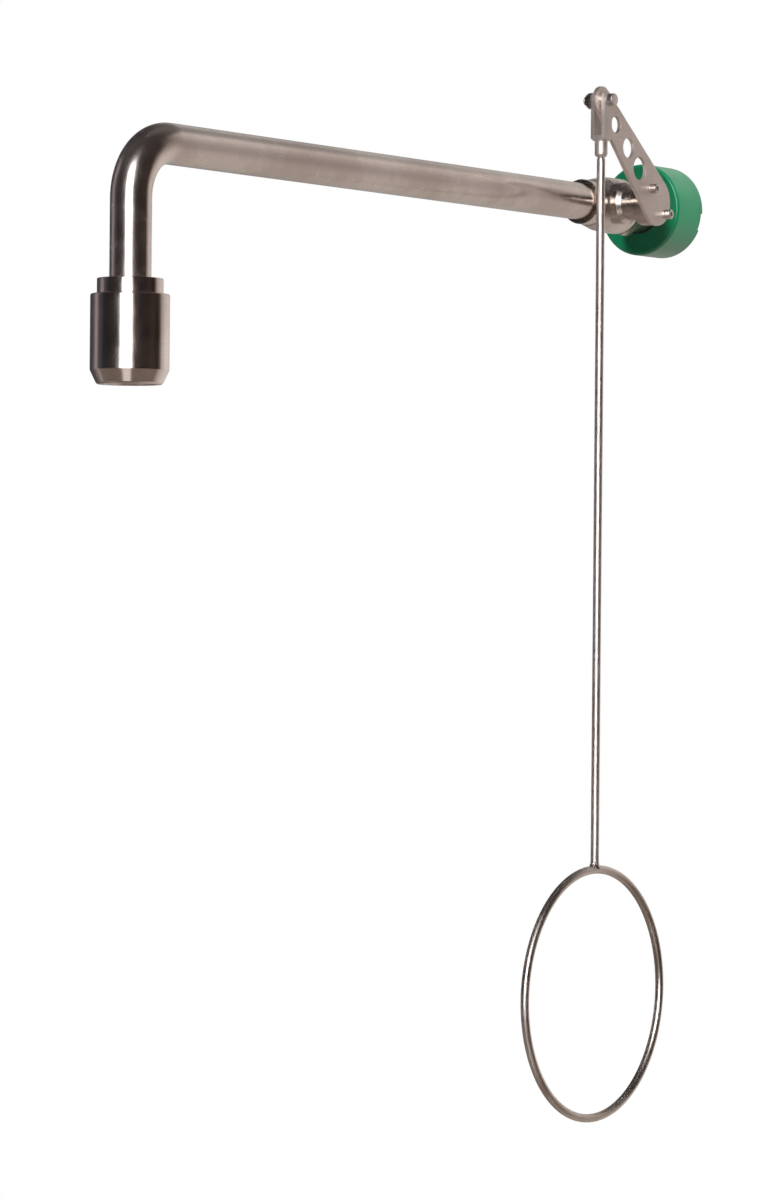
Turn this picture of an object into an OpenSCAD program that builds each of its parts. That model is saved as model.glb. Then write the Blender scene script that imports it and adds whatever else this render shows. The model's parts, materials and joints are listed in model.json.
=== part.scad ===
// Wall-mounted emergency drench shower: a wall cover, a quarter-turn ball valve with a pull lever,
// a bent outlet pipe with a shower head, and a pull rod with a ring handle.
// The origin is the centre of the valve inlet's mouth, on the wall.
// +Y points into the wall, +X to the side of the lever, +Z up. Sizes are in millimetres.

/* [Pipe] */
// Distance from the wall to the axis of the drop
arm_reach = 640; // [500:5:800]
// Outside diameter of the outlet pipe
pipe_d = 26.9; // [26.5:0.1:26.9]
// Wall thickness of the outlet pipe
pipe_wall = 2.6; // [2:0.1:3.2]
// Centreline radius of the bend
bend_r = 38; // [34:1:45]

/* [Valve] */
// Distance from the wall to the stem axis
stem_y = 86.6; // [86.6:0.1:92]
// Outside diameter of the inlet neck
neck_d = 33; // [33:0.1:33.4]
// Minor diameter of the inlet thread, for a 3/4 pipe nipple
inlet_d = 24.12; // [24:0.01:24.3]
// Depth of the inlet thread
inlet_depth = 18; // [14:1:20]
// Largest outside diameter of the valve body
barrel_d = 40.8; // [40.4:0.1:44]
// Outside diameter of the outlet collar
collar_d = 32.7; // [32.7:0.1:34]
// Distance from the wall to the end of the outlet collar
collar_end = 115; // [115:1:118]
// Diameter of the ball
ball_d = 28; // [27.6:0.1:28]
// Diameter of the ball's port
port_d = 17; // [14:0.5:17]
// Diameter of the stem
stem_d = 10; // [8.5:0.1:10]
// Outside diameter of the stem bonnet
bonnet_d = 26.5; // [26.5:0.1:28]

/* [Lever] */
// Distance between the stem axis and the clevis pin
lever_len = 100; // [90:1:110]
// Angle of the closed lever above the horizontal
lever_angle = 42; // [35:1:45]
// Thickness of the lever plate
lever_t = 3; // [2:0.5:3]
// Distance from the pipe axis to the middle of the lever plate
lever_x = 47; // [47:0.5:50]
// Radius of the lever's lower end
lever_r_low = 17.5; // [16:0.5:20]
// Radius of the lever's upper end
lever_r_top = 10; // [8:0.5:12]
// Quarter turn of the lever, in degrees
lever_turn = 90; // [80:1:90]
// Diameter of the drive hub
hub_d = 34; // [32:1:38]
// Distance between the two lever screws
lever_screw_gap = 26; // [24:1:27]

/* [Pull rod] */
// Diameter of the clevis pin
pin_d = 6; // [5:0.5:6]
// Width of the clevis fork, across its two legs
fork_w = 12; // [12:0.5:14]
// Thickness of the clevis fork, from front to back
fork_t = 9.4; // [9.4:0.1:10]
// Width of the fork's slot
fork_slot = 6; // [6:0.1:6.4]
// Depth of the fork's slot below the pin
fork_depth = 25; // [24:1:27]
// Length of the fork's body below the pin
fork_low = 29; // [29:1:32]
// Diameter of the pull rod
rod_d = 6; // [5:0.5:7]
// Height of the ring's top centreline below the arm axis
ring_drop = 484; // [300:1:700]
// Centreline radius of the ring handle
ring_r = 88.9; // [60:0.1:110]
// Diameter of the ring's wire
ring_wire = 6; // [5:0.5:8]

/* [Shower head] */
// Depth of the head's shoulder below the arm axis
head_z = 99; // [95:1:140]
// Diameter of the head shell
head_d = 50.8; // [48:0.1:60]
// Height of the head shell's straight side
head_side = 48.4; // [48:0.1:49]
// Height of the shell's lower taper
head_taper = 9.1; // [8:0.1:9.5]
// Diameter of the collar on the head
head_collar_d = 42.5; // [41:0.1:46]
// Height of the collar on the head
head_collar_h = 10; // [8:0.5:12]
// Diameter of the head's outlet
outlet_d = 30; // [26:1:32]

/* [Wall cover] */
// Diameter of the wall cover
cover_d = 67.8; // [64:0.1:80]
// Depth of the wall cover
cover_len = 34.8; // [30:0.1:36]
// Wall thickness of the cover
cover_wall = 2.6; // [2:0.1:4]
// Radius of the cover's front edge
cover_round = 2.4; // [1:0.1:2.4]

/* [Hidden] */

$fn = 96;
eps = 0.01;
// Radial clearance of a shaft that turns or slides in a hole
run_gap = 0.05;

pipe_r = pipe_d / 2;
bore_r = pipe_r - pipe_wall;
ball_r = ball_d / 2;
port_r = port_d / 2;
stem_r = stem_d / 2;
neck_r = neck_d / 2;
barrel_r = barrel_d / 2;
collar_r = collar_d / 2;
bonnet_r = bonnet_d / 2;
hub_r = hub_d / 2;
rod_r = rod_d / 2;
wire_r = ring_wire / 2;
pin_r = pin_d / 2;
cover_r = cover_d / 2;

// Valve stations along the pipe, as distances from the wall
body_back = 60;
hex_back = 50;
hex_flats = 36;
spigot_end = 71;
nose_end = 79.5;
thread_end = 72;
pipe_stop = 103;
flow_r = 9;
seat_half = 6.6;
seat_r_out = 12.5;
seat_far = 13.5;
chamber_r = ball_r + 0.5;
spigot_r = 17.2;

// Stem stations along X, as distances from the pipe axis
tang_x = 11.1;
tang_w = 4.8;
tang_len = 12;
tang_top = 14.6;
flange_top = 17.5;
washer_top = 19.5;
bonnet_seat = 21.6;
boss_edge = 21.9;
boss_x = 25.5;
boss_r = bonnet_r + 2.15;
bush_x = 27;
bonnet_top = 35.3;
hub_x = 35.8;
lever_in = lever_x - lever_t / 2;
lever_out = lever_x + lever_t / 2;
square_w = 7;
// The round shaft ends just below the hub, and the drive square goes on through it
square_x = hub_x - 0.1;
flange_r = 7.5;
pocket_r = 8;
bonnet_thread_r = 9.5;
bush_r = 6.5;

// Stop pin: it stands in the bonnet's recess and meets the recess's ends at both ends of the turn
stop_r = 2;
stop_pcr = 10.9;
stop_angle = 109;
stop_slack = 1;
stop_half = asin(stop_r / stop_pcr) + stop_slack;
recess_r = 8.2;
recess_x = 27.4;

// Lever screws: M4 socket heads on spring washers
screw_r = 2;
screw_head_r = 3.5;
screw_head_h = 4;
spring_washer_h = 2;
socket_flats = 3;

// Clevis
pin_y = stem_y + lever_len * cos(lever_angle);
pin_z = lever_len * sin(lever_angle);
fork_top = 5.5;
fork_turn_r = 7.6;
fork_edge = 1.8;
fork_neck_r = 4.65;
fork_neck_end = 40.5;
fork_neck_edge = 1.6;
fork_thread = 12;
washer_t = 1;
pin_head_r = 4.45;
pin_head_h = 4.4;
nut_h = 5;
nut_flats = 10;
pin_tail = 3;

// Rod and ring
rod_top = pin_z - fork_neck_end;
ring_z = -ring_drop - ring_r;
rod_end = -ring_drop + wire_r;

// Head stack, downwards from the arm axis
head_in_r = 19;
spigot_h = 14;
gasket_h = 1.3;
strainer_h = 1.2;
regulator_h = 5.5;
insert_h = 6.5;
lip_h = 8;
pipe_end = head_z + 9;
spigot_low = head_z + spigot_h;
gasket_low = spigot_low + gasket_h;
strainer_low = gasket_low + strainer_h;
regulator_low = strainer_low + regulator_h;
head_low = head_z + head_side + head_taper;
lip_top = head_low - lip_h;
insert_top = lip_top - insert_h;

steel = [0.72, 0.69, 0.67];
satin = [0.66, 0.61, 0.58];
white = [0.93, 0.93, 0.91];
black = [0.08, 0.08, 0.08];
green = [0.18, 0.52, 0.38];

// Turns a profile of [radius, distance from the wall] about the pipe axis
module lathe_y() {
    rotate([90, 0, 0]) rotate_extrude() children();
}

// Turns a profile of [radius, distance along +X] about the stem axis
module lathe_stem() {
    translate([0, -stem_y, 0]) rotate([0, 90, 0]) rotate_extrude() children();
}

// Turns a profile of [radius, depth below the arm axis] about the drop axis
module lathe_drop() {
    translate([0, -arm_reach, 0]) mirror([0, 0, 1]) rotate_extrude() children();
}

// Places its children on the pipe axis, with their Z running out from the wall
module on_pipe(y = 0) {
    translate([0, -y, 0]) rotate([90, 0, 0]) children();
}

// Places its children on the stem axis, with their Z along +X
module on_stem(x = 0) {
    translate([x, -stem_y, 0]) rotate([0, 90, 0]) children();
}

// Places its children on the drop axis at a depth below the arm axis, with their Z down
module on_drop(z = 0) {
    translate([0, -arm_reach, -z]) mirror([0, 0, 1]) children();
}

// Places its children on the clevis pin's axis, with their Z along +X
module on_pin(x = 0) {
    translate([x, -pin_y, pin_z]) rotate([0, 90, 0]) children();
}

// Places its children at a distance along the lever, with their Z along +X
module on_lever(along, x = 0) {
    on_stem(x) rotate([0, 0, 180 - lever_angle]) translate([0, along, 0]) children();
}

// Rectangle between two radii and two stations, for a lathe
module band(r_in, r_out, low, high) {
    translate([r_in, low]) square([r_out - r_in, high - low]);
}

// Hexagonal prism measured across its flats
module hexagon(flats, h) {
    cylinder(d = flats / cos(30), h = h, $fn = 6);
}

// ---- Wall cover ----

// Points of the cover's rounded front edge
function cover_edge() = [
    for (a = [0:15:90])
        [cover_r - cover_round + cover_round * cos(a), cover_len - cover_round + cover_round * sin(a)]
];

module wall_cover() {
    hole_r = neck_r + 1.1;
    notch_w = 12;
    notch_z = -8;
    notch_depth = 2;
    color(green) difference() {
        lathe_y() difference() {
            polygon(concat([[hole_r, 0], [cover_r, 0]], cover_edge(), [[hole_r, cover_len]]));
            translate([-1, -1]) square([cover_r - cover_wall + 1, cover_len - cover_wall + 1]);
        }
        // A pry notch in the rim, on the lever's side
        translate([0, -notch_depth, notch_z - notch_w / 2]) cube([cover_r + 1, notch_depth + 1, notch_w]);
    }
}

module cover_grip_ring() {
    color(black) lathe_y() band(neck_r + run_gap, neck_r + 1.1, cover_len - cover_wall, cover_len - 0.3);
}

// ---- Valve ----

module inlet_connector() {
    color(satin) difference() {
        union() {
            lathe_y() polygon([
                [0, 0], [neck_r - 0.6, 0], [neck_r, 0.6], [neck_r, hex_back], [0, hex_back]
            ]);
            on_pipe(hex_back - eps) hexagon(hex_flats, body_back - hex_back + eps);
            on_pipe(body_back - eps) cylinder(r = spigot_r - run_gap, h = spigot_end - body_back + eps);
            on_pipe(spigot_end - eps) cylinder(r = chamber_r - run_gap, h = nose_end - spigot_end + eps);
        }
        on_pipe(-1) cylinder(d = inlet_d, h = inlet_depth + 1);
        on_pipe(-1) cylinder(r = flow_r, h = nose_end + 2);
        on_pipe(stem_y - seat_far) cylinder(r = seat_r_out + run_gap, h = seat_far);
    }
}

module body_outside() {
    cone_back = 90;
    cone_front = 104;
    lathe_y() polygon([
        [0, body_back], [barrel_r - 1.6, body_back], [barrel_r - 0.7, body_back + 2.5],
        [barrel_r, body_back + 8], [barrel_r, cone_back - 9], [barrel_r - 0.8, cone_back],
        [collar_r + 0.6, cone_front - 0.8], [collar_r, cone_front],
        [collar_r, collar_end - 0.5], [collar_r - 0.5, collar_end], [0, collar_end]
    ]);
    lathe_stem() polygon([
        [0, 0], [boss_r, 0], [boss_r, boss_edge], [bonnet_r, boss_x], [0, boss_x]
    ]);
}

module valve_body() {
    mouth_r = 15.2;
    mouth_depth = 3;
    color(satin) difference() {
        body_outside();
        // Outlet: a wide mouth, the pipe's socket and the flow bore
        on_pipe(collar_end - mouth_depth) cylinder(r = mouth_r, h = mouth_depth + 1);
        on_pipe(pipe_stop) cylinder(r = pipe_r + run_gap, h = collar_end);
        on_pipe(body_back) cylinder(r = flow_r, h = collar_end);
        // Seat pocket, ball chamber and the thread for the inlet connector
        on_pipe(stem_y) cylinder(r = seat_r_out + run_gap, h = seat_far);
        on_pipe(body_back - 1) cylinder(r = chamber_r, h = stem_y + seat_half - body_back + 1);
        on_pipe(body_back - 1) cylinder(r = spigot_r, h = thread_end - body_back + 1);
        // Stem flange pocket, stem bore and bonnet thread
        on_stem(tang_x) cylinder(r = pocket_r, h = washer_top - tang_x);
        on_stem(tang_x) cylinder(r = stem_r + run_gap, h = boss_x);
        on_stem(bonnet_seat) cylinder(r = bonnet_thread_r, h = boss_x);
    }
}

module body_seal() {
    color(white) lathe_y() band(chamber_r + 0.1, spigot_r - 0.1, spigot_end, thread_end);
}

// Seat ring with a face that follows the ball, on the side given by its sign
module seat(side) {
    color(white) difference() {
        on_pipe(side > 0 ? stem_y + seat_half : stem_y - seat_far) difference() {
            cylinder(r = seat_r_out, h = seat_far - seat_half);
            translate([0, 0, -1]) cylinder(r = flow_r, h = seat_far);
        }
        translate([0, -stem_y, 0]) sphere(r = ball_r + run_gap);
    }
}

module inlet_seat() {
    seat(-1);
}

module outlet_seat() {
    seat(1);
}

module thrust_washer() {
    color(white) lathe_stem() band(stem_r + 0.1, pocket_r - 0.1, flange_top + run_gap, washer_top);
}

module stem_bonnet() {
    recess_low = stop_angle - lever_turn - stop_half;
    recess_span = lever_turn + 2 * stop_half;
    color(satin) difference() {
        union() {
            on_stem(bonnet_seat + run_gap) cylinder(r = bonnet_thread_r - run_gap, h = boss_x - bonnet_seat);
            on_stem(boss_x) cylinder(r = bonnet_r, h = bonnet_top - boss_x);
        }
        on_stem(0) cylinder(r = stem_r + run_gap, h = bonnet_top + 1);
        on_stem(bush_x) cylinder(r = bush_r, h = bonnet_top);
        // The stop recess, counted up from the horizontal towards the head
        on_stem(recess_x) rotate([0, 0, -90 - recess_low - recess_span])
            rotate_extrude(angle = recess_span) band(recess_r, bonnet_r + 1, 0, bonnet_top);
    }
}

module stem_bush() {
    color(white) lathe_stem() band(stem_r + run_gap, bush_r - run_gap, bush_x, bonnet_top - 0.1);
}

module ball() {
    color(steel) difference() {
        translate([0, -stem_y, 0]) sphere(r = ball_r);
        translate([0, -stem_y, -ball_r - 1]) cylinder(r = port_r, h = ball_d + 2);
        // The slot for the stem's tang, along the port
        translate([tang_x - 0.1, -stem_y - tang_w / 2 - 0.1, -ball_r])
            cube([ball_r, tang_w + 0.2, ball_d]);
    }
}

module stem() {
    groove_r = 3.4;
    groove_w = 1.7;
    color(steel) difference() {
        union() {
            translate([tang_x, -stem_y - tang_w / 2, -tang_len / 2])
                cube([tang_top - tang_x + eps, tang_w, tang_len]);
            on_stem(tang_top) cylinder(r = flange_r, h = flange_top - tang_top);
            on_stem(tang_top) cylinder(r = stem_r, h = square_x - tang_top);
            on_stem(square_x - 1) translate([-square_w / 2, -square_w / 2, 0])
                cube([square_w, square_w, lever_in - square_x + 0.9]);
        }
        for (x = oring_x)
            lathe_stem() band(groove_r, stem_r + 1, x - groove_w / 2, x + groove_w / 2);
    }
}

// Stations of the two stem O-rings
oring_x = [23.3, 25.5];

module stem_orings() {
    ring_r_mid = 4.2;
    ring_r_wire = 0.78;
    color(black) for (x = oring_x)
        lathe_stem() translate([ring_r_mid, x]) circle(r = ring_r_wire, $fn = 24);
}

module drive_hub() {
    color(satin) difference() {
        lathe_stem() polygon([
            [0, hub_x], [hub_r - 0.4, hub_x], [hub_r, hub_x + 0.4], [hub_r, lever_in], [0, lever_in]
        ]);
        on_stem(hub_x - 1) translate([-square_w / 2 - run_gap, -square_w / 2 - run_gap, 0])
            cube([square_w + 2 * run_gap, square_w + 2 * run_gap, hub_d]);
        for (side = [-1, 1])
            on_lever(side * lever_screw_gap / 2, hub_x - 1) cylinder(r = screw_r + run_gap, h = hub_d);
        on_stop(hub_x - 1) cylinder(r = stop_r + 0.02, h = 8);
        on_set_screw(square_w / 2) cylinder(r = screw_r + run_gap, h = hub_d);
    }
}

// Places its children on the stop pin's axis in the closed position, with their Z along +X
module on_stop(x) {
    on_stem(x) rotate([0, 0, -90 - stop_angle]) translate([stop_pcr, 0, 0]) children();
}

// Places its children on the hub's set screw, which points to the wall, with their Z outwards
module on_set_screw(r) {
    translate([(hub_x + lever_in) / 2, r - stem_y, 0]) rotate([-90, 0, 0]) children();
}

module stop_pin() {
    color(steel) on_stop(recess_x + 1) cylinder(r = stop_r, h = hub_x + 7 - recess_x - 1);
}

module hub_set_screw() {
    color(black) on_set_screw(square_w / 2 + 0.2) difference() {
        cylinder(r = screw_r, h = 9);
        translate([0, 0, 6.5]) hexagon(2, 4);
    }
}

// ---- Lever ----

module lever_plate() {
    hole_at = [32.7, 53.4, 76.4];
    hole_r = [8.4, 7.3, 6];
    slope = asin((lever_r_low - lever_r_top) / lever_len);
    color(steel) difference() {
        on_lever(0, lever_in) linear_extrude(lever_t) union() {
            circle(r = lever_r_low);
            translate([0, lever_len]) circle(r = lever_r_top);
            // The straight flanks are tangent to both ends
            polygon([
                [lever_r_low * cos(slope), lever_r_low * sin(slope)],
                [lever_r_top * cos(slope), lever_len + lever_r_top * sin(slope)],
                [-lever_r_top * cos(slope), lever_len + lever_r_top * sin(slope)],
                [-lever_r_low * cos(slope), lever_r_low * sin(slope)]
            ]);
        }
        for (i = [0:2])
            on_lever(hole_at[i], lever_in - 1) cylinder(r = hole_r[i], h = lever_t + 2);
        for (side = [-1, 1])
            on_lever(side * lever_screw_gap / 2, lever_in - 1) cylinder(r = screw_r + 0.15, h = lever_t + 2);
        on_pin(lever_in - 1) cylinder(r = pin_r + run_gap, h = lever_t + 2);
    }
}

module lever_screws() {
    head_x = lever_out + spring_washer_h;
    color(steel) for (side = [-1, 1]) on_lever(side * lever_screw_gap / 2) difference() {
        union() {
            translate([0, 0, hub_x + 1.5]) cylinder(r = screw_r, h = head_x - hub_x - 1.5 + eps);
            translate([0, 0, head_x]) cylinder(r = screw_head_r, h = screw_head_h - 0.4);
            translate([0, 0, head_x + screw_head_h - 0.4])
                cylinder(r1 = screw_head_r, r2 = screw_head_r - 0.4, h = 0.4);
        }
        translate([0, 0, head_x + screw_head_h - 2.2]) hexagon(socket_flats, 3);
    }
}

module lever_spring_washers() {
    split = 0.6;
    color(steel) for (side = [-1, 1]) on_lever(side * lever_screw_gap / 2, lever_out) difference() {
        cylinder(r = screw_head_r - 0.1, h = spring_washer_h);
        translate([0, 0, -1]) cylinder(r = screw_r + 0.15, h = spring_washer_h + 2);
        translate([0, -split / 2, -1]) cube([screw_head_r + 1, split, spring_washer_h + 2]);
    }
}

// ---- Clevis, rod and ring ----

module clevis_pin() {
    head_x = lever_x + fork_w / 2 + washer_t;
    tail_x = lever_x - fork_w / 2 - nut_h - pin_tail;
    color(steel) {
        on_pin(tail_x) cylinder(r1 = pin_r - 0.5, r2 = pin_r, h = 0.5);
        on_pin(tail_x + 0.5) cylinder(r = pin_r, h = head_x - tail_x - 0.5 + eps);
        on_pin(head_x) cylinder(r = pin_head_r, h = pin_head_h - 0.5);
        on_pin(head_x + pin_head_h - 0.5) cylinder(r1 = pin_head_r, r2 = pin_head_r - 0.5, h = 0.5);
    }
}

module clevis_nut() {
    color(steel) on_pin(lever_x - fork_w / 2 - nut_h - 0.05) difference() {
        intersection() {
            rotate([0, 0, 30]) hexagon(nut_flats, nut_h);
            // Chamfered corners, as on a standard nut
            union() {
                cylinder(r1 = nut_flats / 2, r2 = nut_flats / 2 + 1.5, h = 1);
                translate([0, 0, 1]) cylinder(r = nut_flats / 2 + 1.5, h = nut_h - 1);
            }
        }
        translate([0, 0, -1]) cylinder(r = pin_r + 0.02, h = nut_h + 2);
    }
}

// Flat ring on the clevis pin between two stations
module pin_ring(x_low, x_high, r) {
    color(steel) on_pin(x_low) difference() {
        cylinder(r = r, h = x_high - x_low);
        translate([0, 0, -1]) cylinder(r = pin_r + run_gap, h = x_high - x_low + 2);
    }
}

module clevis_washer() {
    face = lever_x + fork_w / 2;
    pin_ring(face + 0.05, face + washer_t, 4.1);
}

module clevis_spacers() {
    pin_ring(lever_x - fork_slot / 2 + 0.05, lever_in - 0.05, 5);
    pin_ring(lever_out + 0.05, lever_x + fork_slot / 2 - 0.05, 5);
}

// Profile of the turned fork blank, as [radius, height above the pin]
function fork_blank() = [
    [0, fork_top], [fork_turn_r - fork_edge, fork_top], [fork_turn_r, fork_top - fork_edge],
    [fork_turn_r, fork_edge - fork_low], [fork_turn_r - fork_edge, -fork_low], [fork_neck_r, -fork_low],
    [fork_neck_r, fork_neck_edge - fork_neck_end], [fork_neck_r - fork_neck_edge * 0.7, -fork_neck_end],
    [0, -fork_neck_end]
];

module clevis_fork() {
    color(steel) translate([lever_x, -pin_y, pin_z]) difference() {
        intersection() {
            rotate_extrude() polygon(fork_blank());
            // The bar that the legs are cut from; its ends are turned
            translate([-fork_w / 2, -fork_t / 2, -fork_neck_end - 1])
                cube([fork_w, fork_t, fork_neck_end + fork_top + 2]);
        }
        translate([-fork_slot / 2, -fork_w, -fork_depth])
            cube([fork_slot, 2 * fork_w, fork_depth + fork_top + 1]);
        translate([-fork_w, 0, 0]) rotate([0, 90, 0]) cylinder(r = pin_r + run_gap, h = 2 * fork_w);
        translate([0, 0, -fork_neck_end - 1]) cylinder(r = rod_r - 0.45, h = fork_thread + 1);
    }
}

module pull_rod() {
    thread_r = rod_r - 0.5;
    color(steel) translate([lever_x, -pin_y, 0]) {
        translate([0, 0, rod_end]) cylinder(r = rod_r, h = rod_top - 1.4 - rod_end);
        translate([0, 0, rod_top - 1.4 - eps]) cylinder(r = thread_r, h = 1.4 + fork_thread - 0.5);
    }
}

module pull_ring() {
    color(satin) translate([lever_x, -pin_y, ring_z]) rotate([0, 90, 0])
        rotate_extrude() translate([ring_r, 0]) circle(r = wire_r, $fn = 48);
}

module ring_weld() {
    bead_h = 3.2;
    bead_skirt = 1.4;
    bead_w = 1.3;
    color(satin) difference() {
        translate([lever_x, -pin_y, rod_end]) rotate_extrude() polygon([
            [rod_r + 0.02, bead_h], [rod_r + 0.25, bead_h], [rod_r + bead_w * 0.6, bead_h * 0.35],
            [rod_r + bead_w, -0.2], [rod_r + bead_w * 0.7, -bead_skirt], [0, -bead_skirt],
            [0, -0.02], [rod_r + 0.02, -0.02]
        ]);
        // The ring's wire, taken as straight under the bead
        translate([lever_x, ring_r - pin_y, -ring_drop]) rotate([90, 0, 0])
            cylinder(r = wire_r + 0.01, h = 2 * ring_r);
    }
}

// ---- Outlet pipe and shower head ----

// Straight, bend and drop of the pipe with a given radius; the ends are run past by extra
module pipe_run(r, extra = 0) {
    straight = arm_reach - bend_r - pipe_stop;
    drop = pipe_end - bend_r;
    on_pipe(pipe_stop - extra) cylinder(r = r, h = straight + extra);
    translate([0, bend_r - arm_reach, -bend_r]) rotate([90, 0, -90])
        rotate_extrude(angle = 90) translate([bend_r, 0]) circle(r = r);
    on_drop(bend_r) cylinder(r = r, h = drop + extra);
}

module outlet_pipe() {
    color(satin) difference() {
        pipe_run(pipe_r);
        pipe_run(bore_r, 1);
    }
}

module head_adapter() {
    collar_r = head_collar_d / 2;
    collar_top = head_z - head_collar_h;
    color(steel) lathe_drop() polygon([
        [pipe_r + run_gap, collar_top], [collar_r - 0.5, collar_top], [collar_r, collar_top + 0.5],
        [collar_r, head_z], [head_in_r, head_z], [head_in_r, spigot_low], [bore_r, spigot_low],
        [bore_r, pipe_end], [pipe_r + run_gap, pipe_end]
    ]);
}

module head_shell() {
    r = head_d / 2;
    side_low = head_z + head_side;
    foot_r = 21.6;
    lip_r = outlet_d / 2;
    color(steel) lathe_drop() polygon([
        [head_in_r + run_gap, head_z], [r - 0.9, head_z], [r, head_z + 0.9], [r, side_low],
        [foot_r, head_low - 1.1], [foot_r - 1.1, head_low], [lip_r + 1.5, head_low],
        [lip_r, head_low - 1.5], [lip_r, lip_top], [head_in_r + run_gap, lip_top]
    ]);
}

module head_gasket() {
    color(black) lathe_drop() band(head_in_r - 3.5, head_in_r, spigot_low, gasket_low);
}

// Round plate in the head with holes on rings; each ring is [radius, number of holes, hole radius]
module holed_disc(r, top, low, rings) {
    on_drop(top) difference() {
        cylinder(r = r, h = low - top);
        for (ring = rings, i = [0:ring[1] - 1])
            rotate([0, 0, i * 360 / ring[1]]) translate([ring[0], 0, -1])
                cylinder(r = ring[2], h = low - top + 2, $fn = 24);
    }
}

module strainer() {
    rows = [[0, 1, 1.2], [4, 6, 1.2], [8, 12, 1.2], [12, 18, 1.2]];
    color(steel) holed_disc(head_in_r, gasket_low, strainer_low, rows);
}

module flow_regulator() {
    rows = [[0, 1, 2.4], [10, 8, 2.2]];
    color(black) holed_disc(head_in_r, strainer_low, regulator_low, rows);
}

module spacer_sleeve() {
    color(white) lathe_drop() band(head_in_r - 2.5, head_in_r, regulator_low, insert_top);
}

module spray_insert() {
    nose_r = outlet_d / 2 - 0.4;
    nose_low = head_low - 3;
    color(black) difference() {
        union() {
            on_drop(insert_top) cylinder(r = head_in_r, h = insert_h);
            on_drop(lip_top - eps) cylinder(r = nose_r, h = nose_low - lip_top + eps);
        }
        // A flared outlet, fed by a ring of ports round a centre post
        on_drop(lip_top) cylinder(r1 = 8, r2 = nose_r - 1.6, h = nose_low - lip_top + eps);
        for (i = [0:7])
            rotate_about_drop(i * 45) translate([6, 0, insert_top - 1]) cylinder(r = 1.9, h = 30, $fn = 32);
    }
}

// Turns its children about the drop axis, with their Z down from the arm axis
module rotate_about_drop(angle) {
    on_drop(0) rotate([0, 0, angle]) children();
}

wall_cover();
cover_grip_ring();
inlet_connector();
valve_body();
body_seal();
inlet_seat();
outlet_seat();
thrust_washer();
stem_bonnet();
stem_bush();
ball();
stem();
stem_orings();
drive_hub();
stop_pin();
hub_set_screw();
lever_plate();
lever_screws();
lever_spring_washers();
clevis_pin();
clevis_nut();
clevis_washer();
clevis_spacers();
clevis_fork();
pull_rod();
pull_ring();
ring_weld();
outlet_pipe();
head_adapter();
head_shell();
head_gasket();
strainer();
flow_regulator();
spacer_sleeve();
spray_insert();
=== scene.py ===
"""Wall-mounted emergency drench shower: fine meshes, procedural materials, studio light and camera.

Profiles and sizes are in millimetres and are turned to metres as the meshes are made. Places come from
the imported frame: the boxes of its nodes and the places of its joints.
"""

import json
import math

import bmesh
import bpy
from mathutils import Matrix, Vector


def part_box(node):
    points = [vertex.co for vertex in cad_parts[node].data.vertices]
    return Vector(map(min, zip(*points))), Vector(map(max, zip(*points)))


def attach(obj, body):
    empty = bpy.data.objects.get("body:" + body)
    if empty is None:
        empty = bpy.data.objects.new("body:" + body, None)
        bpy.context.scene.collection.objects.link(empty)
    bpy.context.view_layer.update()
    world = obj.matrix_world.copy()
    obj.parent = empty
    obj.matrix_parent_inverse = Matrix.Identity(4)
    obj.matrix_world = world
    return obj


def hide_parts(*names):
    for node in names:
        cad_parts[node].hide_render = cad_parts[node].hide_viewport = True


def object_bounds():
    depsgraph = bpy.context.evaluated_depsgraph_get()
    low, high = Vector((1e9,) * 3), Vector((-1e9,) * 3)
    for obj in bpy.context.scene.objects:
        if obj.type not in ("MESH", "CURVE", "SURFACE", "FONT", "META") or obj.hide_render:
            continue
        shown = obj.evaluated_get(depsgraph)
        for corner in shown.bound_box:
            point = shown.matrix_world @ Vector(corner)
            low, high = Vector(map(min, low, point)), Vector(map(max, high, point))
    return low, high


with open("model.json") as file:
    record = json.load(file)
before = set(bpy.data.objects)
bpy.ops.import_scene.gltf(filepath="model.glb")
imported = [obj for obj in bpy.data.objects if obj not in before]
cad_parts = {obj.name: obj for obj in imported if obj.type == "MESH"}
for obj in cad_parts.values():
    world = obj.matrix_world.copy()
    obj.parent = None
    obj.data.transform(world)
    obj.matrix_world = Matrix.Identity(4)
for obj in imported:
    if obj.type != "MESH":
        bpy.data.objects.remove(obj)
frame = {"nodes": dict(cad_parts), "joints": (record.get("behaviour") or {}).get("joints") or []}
cad_low, cad_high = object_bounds()

MM = 0.001


# ---- Places taken from the frame, in millimetres ----

def node_box(node):
    """Lowest and highest corner of a CAD node, in millimetres."""
    low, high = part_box(node)
    return low / MM, high / MM


def joint_place(name):
    """A joint's place, in millimetres."""
    found = [j for j in frame["joints"] if j["name"] == name]
    return Vector(found[0]["pos_m"]) / MM


STEM_Y = -joint_place("lever_turn").y
PIN = joint_place("pin_turn")
LEVER_X = PIN.x
LEVER_LEN = math.hypot(PIN.y + STEM_Y, PIN.z)
LEVER_ANGLE = math.atan2(PIN.z, -PIN.y - STEM_Y)

pipe_low, pipe_high = node_box("outlet_pipe")
PIPE_R = pipe_high.x
ARM_REACH = -pipe_low.y - PIPE_R
PIPE_START = -pipe_high.y
PIPE_END = -pipe_low.z

cover_low, cover_high = node_box("wall_cover")
COVER_R = cover_high.x
COVER_LEN = -cover_low.y

INLET_END = -node_box("inlet_connector")[0].y

body_low, body_high = node_box("valve_body")
BODY_BACK = -body_high.y
COLLAR_END = -body_low.y
BARREL_R = body_high.z
BOSS_X = body_high.x

bonnet_high = node_box("stem_bonnet")[1]
BONNET_R = bonnet_high.z
BONNET_TOP = bonnet_high.x

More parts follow.
